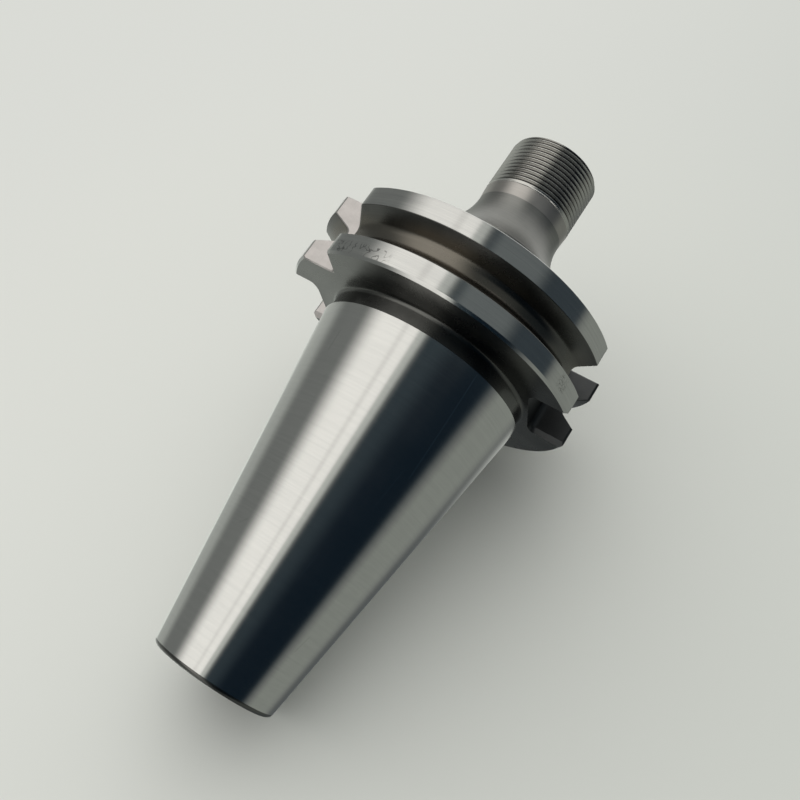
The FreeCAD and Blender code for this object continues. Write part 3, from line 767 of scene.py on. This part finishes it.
turned_finish("turned_neck", 0.40, 0.3, (0.28, 0.28, 0.268), (0.19, 0.192, 0.184), 0.10, 0.000003)
turned_finish("runout_band", 0.38, 0.4, (0.47, 0.45, 0.43), (0.36, 0.345, 0.33), 0.08, 0.000002)
# the thread's root and near-root radii: between them its colour carries painted shade
turned_finish("cut_thread", 0.25, 0.3, (0.64, 0.63, 0.60), (0.46, 0.455, 0.44), 0.08, 0.0000015,
              root=(THREAD_RADIUS - THREAD_DEPTH, THREAD_RADIUS - 0.22))
turned_finish("bored_inside", 0.40, 0.0, (0.42, 0.41, 0.40), (0.32, 0.315, 0.31), 0.15, 0.000003)


# ---------------------------------------------------------------- the piece
def build_holder():
    """Skin and thread joined into one closed piece, its points in place in its mesh."""
    body_mesh = mesh_from_skin(build_holder_skin(), "chuck_holder")
    thread_mesh = build_thread()
    whole = bmesh.new()
    whole.from_mesh(body_mesh)
    old_faces = len(whole.faces)
    whole.from_mesh(thread_mesh)
    whole.faces.ensure_lookup_table()
    for face in whole.faces[old_faces:]:
        face.material_index = FINISHES.index("cut_thread")
    bmesh.ops.remove_doubles(whole, verts=whole.verts, dist=0.002 * MM)
    bmesh.ops.recalc_face_normals(whole, faces=whole.faces)
    for face in whole.faces:
        face.smooth = True
    for edge in whole.edges:
        edge.smooth = edge.is_manifold and edge.calc_face_angle(0) < SMOOTH_ANGLE
    open_edges = sum(1 for edge in whole.edges if not edge.is_manifold)
    print("open edges", open_edges, "volume mm3", round(whole.calc_volume() / MM ** 3, 1))
    whole.to_mesh(body_mesh)
    whole.free()
    print("triangles", sum(len(p.vertices) - 2 for p in body_mesh.polygons))
    holder = bpy.data.objects.new("chuck_holder", body_mesh)
    bpy.context.scene.collection.objects.link(holder)
    return holder


holder = build_holder()
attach(holder, "root")
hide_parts("holder_body")


# ---------------------------------------------------------------- floor and light
# painted light on the table: its colour is lighter at the left and darker at the right
TABLE_PAINTED_LIT_LEFT = (0.70, 0.71, 0.67)
TABLE_PAINTED_SHADED_RIGHT = (0.60, 0.62, 0.58)
BACKDROP_FAR = (0.64, 0.65, 0.62)
REST_SMALL_RADIUS, REST_SMALL_Z = 12.45 * MM, 0.4 * MM
REST_FLANGE_Z = 72.2 * MM


# what stands round the holder, as polished steel shows it: from one heading to another in
# degrees, the softness of its two edges, its light, and whether it stands only higher up
SIDE_WALL = (0.20, 0.21, 0.20)
STUDIO = [
    ("window", -156, -86, 28, 5, (1.22, 1.20, 1.14), False),
    ("window_bar", -110, -102, 3, 3, (1.04, 1.02, 0.97), False),
    ("curtain_edge", -95, -82, 4, 6, (0.62, 0.64, 0.60), False),
    ("dark_room", -88, 8, 10, 18, (0.03, 0.045, 0.055), False),
    ("deep_corner", -72, 2, 24, 14, (0.006, 0.013, 0.021), False),
    ("upper_shelf", -84, -22, 12, 22, (0.17, 0.19, 0.19), True),
    ("upper_corner", -40, 12, 16, 10, (0.05, 0.065, 0.075), True),
    ("grey_screen", 2, 70, 14, 26, (0.30, 0.32, 0.29), False),
    ("far_wall", 56, 116, 24, 12, (0.11, 0.12, 0.12), False),
    ("pale_screen", 104, 142, 18, 14, (0.74, 0.78, 0.72), False),
    ("pale_wall", 132, 180, 8, 22, (0.44, 0.46, 0.43), False),
    ("upper_wall", 60, 168, 20, 24, (0.52, 0.54, 0.50), True),
]
OVERHEAD_LIGHT = (1.0, 1.0, 0.97)


def studio_light(rows, x, y, z):
    """Light of the studio in a direction, one panel laid over another."""
    heading = rows.math("DEGREES", rows.math("ARCTAN2", y, x))
    higher_up = rows.smooth(z, 0.06, 0.34)
    light = SIDE_WALL
    for _, start, end, soft_start, soft_end, color, raised in STUDIO:
        inside = rows.math("MULTIPLY", rows.smooth(heading, start, start + soft_start),
                           rows.smooth(heading, end, end - soft_end))
        if raised:
            inside = rows.math("MULTIPLY", inside, higher_up)
        light = blend_colors(rows, inside, light, color)
    return blend_colors(rows, rows.smooth(z, 0.62, 0.88), light, OVERHEAD_LIGHT)


SOFT_DIM = (0.29, 0.30, 0.30)
SOFT_BRIGHT = (1.68, 1.67, 1.65)


def light_studio():
    """Plain backdrop to the eye, bands of light to steel, soft light to all else."""
    world = bpy.data.worlds.new("studio")
    bpy.context.scene.world = world
    world.use_nodes = True
    world_rows = NodeRows(world.node_tree)
    heading = world_rows.node("ShaderNodeSeparateXYZ")
    world_rows.put(heading.inputs[0], world_rows.node("ShaderNodeTexCoord").outputs["Generated"])
    world_x, world_y, world_z = heading.outputs
    studio = studio_light(world_rows, world_x, world_y, world_z)
    # soft light for everything that isn't steel: a wide window at the left, dim opposite
    key_share = world_rows.math("ADD", world_rows.math("MULTIPLY", world_x, -0.62),
                                world_rows.math("ADD", world_rows.math("MULTIPLY", world_y, -0.52),
                                                world_rows.math("MULTIPLY", world_z, 0.58)))
    soft_light = blend_colors(world_rows, world_rows.smooth(key_share, 0.0, 0.95),
                              SOFT_DIM, SOFT_BRIGHT)
    light_path = world_rows.node("ShaderNodeLightPath")
    seen = blend_colors(world_rows, light_path.outputs["Is Glossy Ray"], soft_light, studio)
    seen = blend_colors(world_rows, light_path.outputs["Is Camera Ray"], seen, BACKDROP_FAR)
    background = world.node_tree.nodes["Background"]
    world_rows.put(background.inputs["Color"], seen)
    background.inputs["Strength"].default_value = 1.0


# the holder lies on a pale table: it touches at the small end and at the flange's rear rim
REST_HEADING = math.radians(88.3)
rest_rise = (FLANGE_RADIUS * MM - REST_SMALL_RADIUS) / (REST_FLANGE_Z - REST_SMALL_Z)
rest_tilt = math.atan(rest_rise)
rest_out = (math.cos(REST_HEADING), math.sin(REST_HEADING))
TABLE_HALF = 3.0
TABLE_GAP = 0.1 * MM


def table_point(across, along):
    """Point of the table: across it level with the floor, along it up the holder's side."""
    out = (REST_SMALL_RADIUS + along * math.sin(rest_tilt)) + TABLE_GAP
    height = REST_SMALL_Z + along * math.cos(rest_tilt)
    return (rest_out[0] * out - rest_out[1] * across,
            rest_out[1] * out + rest_out[0] * across, height)


def build_table():
    """Pale table seen from its own side, with painted light making it lighter at the left and
    darker at the right; it keeps the holder's soft shadow.
    """
    floor_mesh = bpy.data.meshes.new("table")
    corners = [(-TABLE_HALF, -TABLE_HALF), (-TABLE_HALF, TABLE_HALF),
               (TABLE_HALF, TABLE_HALF), (TABLE_HALF, -TABLE_HALF)]
    floor_mesh.from_pydata([table_point(*corner) for corner in corners], [], [(0, 1, 2, 3)])
    floor = bpy.data.objects.new("table", floor_mesh)
    bpy.context.scene.collection.objects.link(floor)
    floor_finish = bpy.data.materials.new("pale_table")
    floor_finish.use_nodes = True
    floor_rows = NodeRows(floor_finish.node_tree)
    floor_shader = floor_finish.node_tree.nodes["Principled BSDF"]
    floor_shader.inputs["Roughness"].default_value = 1.0
    floor_shader.inputs["Specular IOR Level"].default_value = 0.0
    floor_place = floor_rows.node("ShaderNodeSeparateXYZ")
    floor_rows.put(floor_place.inputs[0], floor_rows.node("ShaderNodeTexCoord").outputs["Object"])
    floor_x, _, floor_z = floor_place.outputs
    # painted light: the table's colour runs from lighter at the left to darker at the right, as
    # light falling from the left would leave it
    table_tone_with_painted_light = blend_colors(floor_rows, floor_rows.smooth(floor_x, -0.12, 0.16),
                              TABLE_PAINTED_LIT_LEFT, TABLE_PAINTED_SHADED_RIGHT)
    floor_rows.put(floor_shader.inputs["Base Color"], table_tone_with_painted_light)
    # far from the holder the table glows in the backdrop's own tone, so that no edge shows
    off_z = floor_rows.math("SUBTRACT", floor_z, 0.05)
    floor_distance = floor_rows.math("SQRT", floor_rows.math(
        "ADD", floor_rows.math("MULTIPLY", floor_x, floor_x),
        floor_rows.math("MULTIPLY", off_z, off_z)))
    far_tone = floor_rows.node("ShaderNodeEmission")
    floor_rows.put(far_tone.inputs["Color"], blend_colors(
        floor_rows, floor_rows.smooth(floor_distance, 0.22, 0.6), table_tone_with_painted_light, BACKDROP_FAR))
    floor_mix = floor_rows.node("ShaderNodeMixShader")
    floor_rows.put(floor_mix.inputs[0], floor_rows.smooth(floor_distance, 0.09, 0.19))
    floor_rows.put(floor_mix.inputs[1], floor_shader.outputs[0])
    floor_rows.put(floor_mix.inputs[2], far_tone.outputs[0])
    # from behind, the table is clear
    clear = floor_rows.node("ShaderNodeBsdfTransparent")
    behind = floor_rows.node("ShaderNodeNewGeometry").outputs["Backfacing"]
    one_sided = floor_rows.node("ShaderNodeMixShader")
    floor_rows.put(one_sided.inputs[0], behind)
    floor_rows.put(one_sided.inputs[1], floor_mix.outputs[0])
    floor_rows.put(one_sided.inputs[2], clear.outputs[0])
    floor_rows.put(floor_finish.node_tree.nodes["Material Output"].inputs[0], one_sided.outputs[0])
    floor_mesh.materials.append(floor_finish)
    floor.visible_glossy = False
    return floor


light_studio()
floor = build_table()

# ---------------------------------------------------------------- camera
camera_data = bpy.data.cameras.new("camera")
camera_data.sensor_width = 36
camera_data.lens = 38.15
camera_data.clip_start = 0.005
camera = bpy.data.objects.new("camera", camera_data)
bpy.context.scene.collection.objects.link(camera)
CAMERA_PLACE = Vector((0.05025, -0.15208, 0.01771))
CAMERA_AIM = Vector((-0.30254, 0.91566, 0.26464))
CAMERA_RIGHT = Vector((0.83427, 0.12013, 0.53811))
aim = CAMERA_AIM.normalized()
right = (CAMERA_RIGHT - aim * CAMERA_RIGHT.dot(aim)).normalized()
up = right.cross(aim)
turn = Matrix((right, up, -aim)).transposed()
camera.matrix_world = Matrix.Translation(CAMERA_PLACE) @ turn.to_4x4()
bpy.context.scene.camera = camera
bpy.context.scene.view_settings.view_transform = "Standard"
